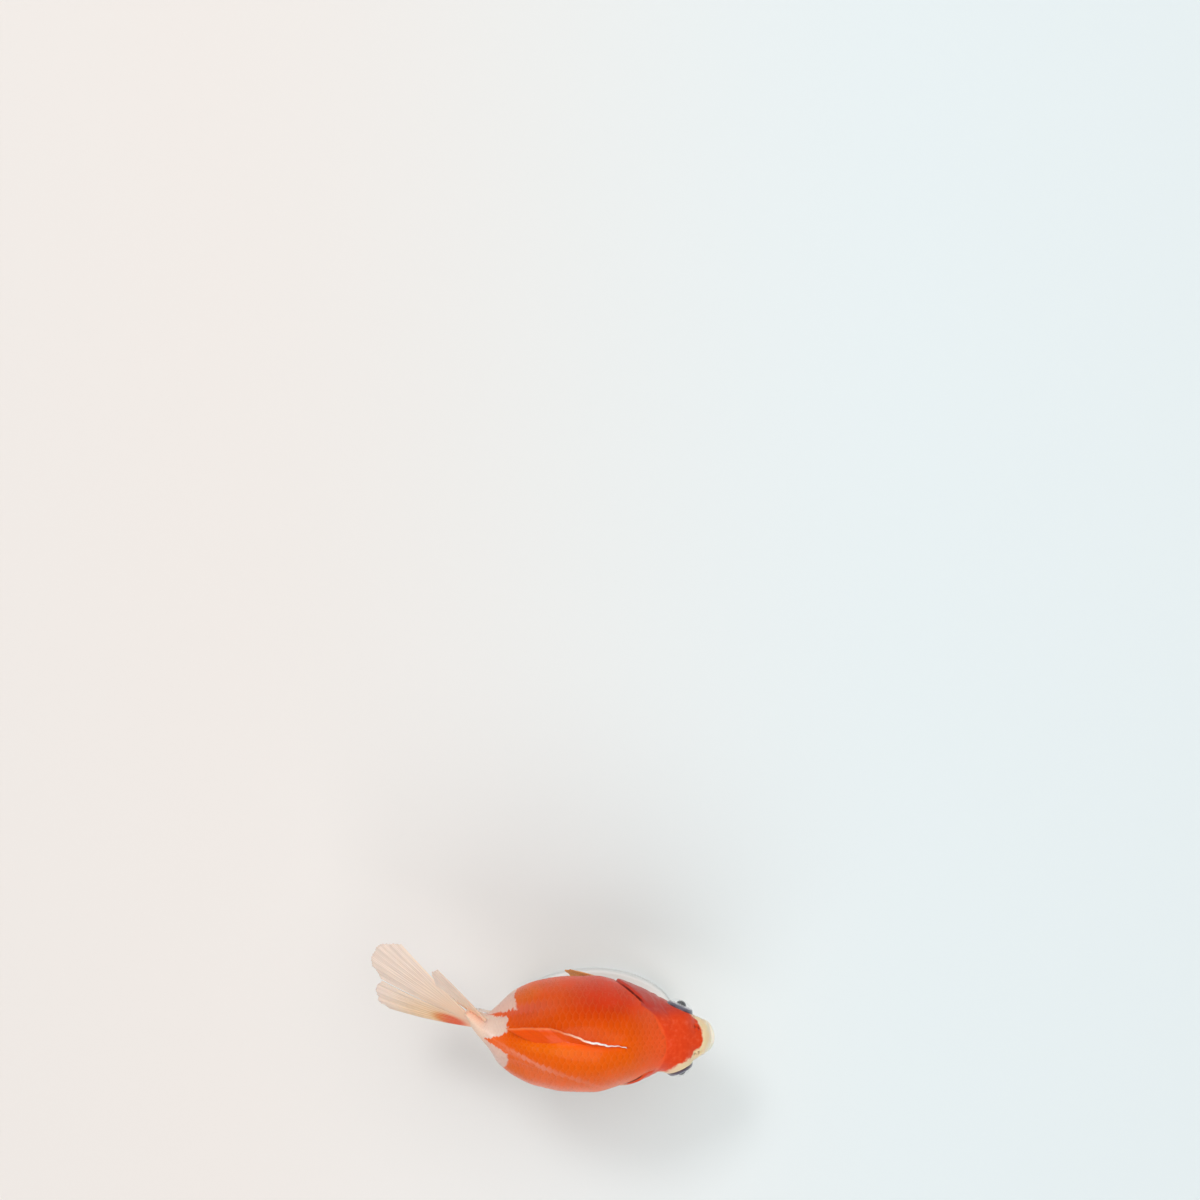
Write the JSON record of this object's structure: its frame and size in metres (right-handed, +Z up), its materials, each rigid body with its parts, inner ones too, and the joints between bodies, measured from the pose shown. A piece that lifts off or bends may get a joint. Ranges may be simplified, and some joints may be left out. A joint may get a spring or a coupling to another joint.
{
  "type": "goldfish, still display model",
  "caption": "Life-size still model of a round-bodied double-tailed goldfish, tail swung to its left, held level on a small oval stand.",
  "frame": {"origin": "centre of the stand base's flat underside, which rests on the surface", "axes": "+X towards the snout, +Y to the fish's left, +Z up"},
  "size_m": [0.0928, 0.0426, 0.0602],
  "materials": {
    "skin": "wet-looking gloss; red head, cream lips and cheeks",
    "scales": "overlapping glossy scales; orange back, pinkish flanks, cream-white rear patches and belly",
    "fin": "thin, rayed and see-through at the edges; cream and pale pink with orange flushes",
    "eye": "clear domed gloss over a black pupil in a silver ring",
    "stand_base": "satin off-white",
    "stand_rod": "fine brushed"
  },
  "bodies": {
    "root": {"mouth": "skin", "head": "skin", "gill_cover_left": "skin", "gill_cover_right": "skin", "trunk_front": "scales", "trunk_middle": "scales", "trunk_rear": "scales", "tail_stem": "scales", "eye_left": "eye", "eye_right": "eye", "dorsal_fin": "fin", "pectoral_fin_left": "fin", "pectoral_fin_right": "fin", "pelvic_fin_left": "fin", "pelvic_fin_right": "fin", "anal_fin_left": "fin", "anal_fin_right": "fin", "tail_fin_left_upper": "fin", "tail_fin_left_lower": "fin", "tail_fin_right_upper": "fin", "tail_fin_right_lower": "fin", "stand_base": "stand_base", "stand_rod_front": "stand_rod", "stand_rod_rear": "stand_rod"}
  },
  "joints": []
}
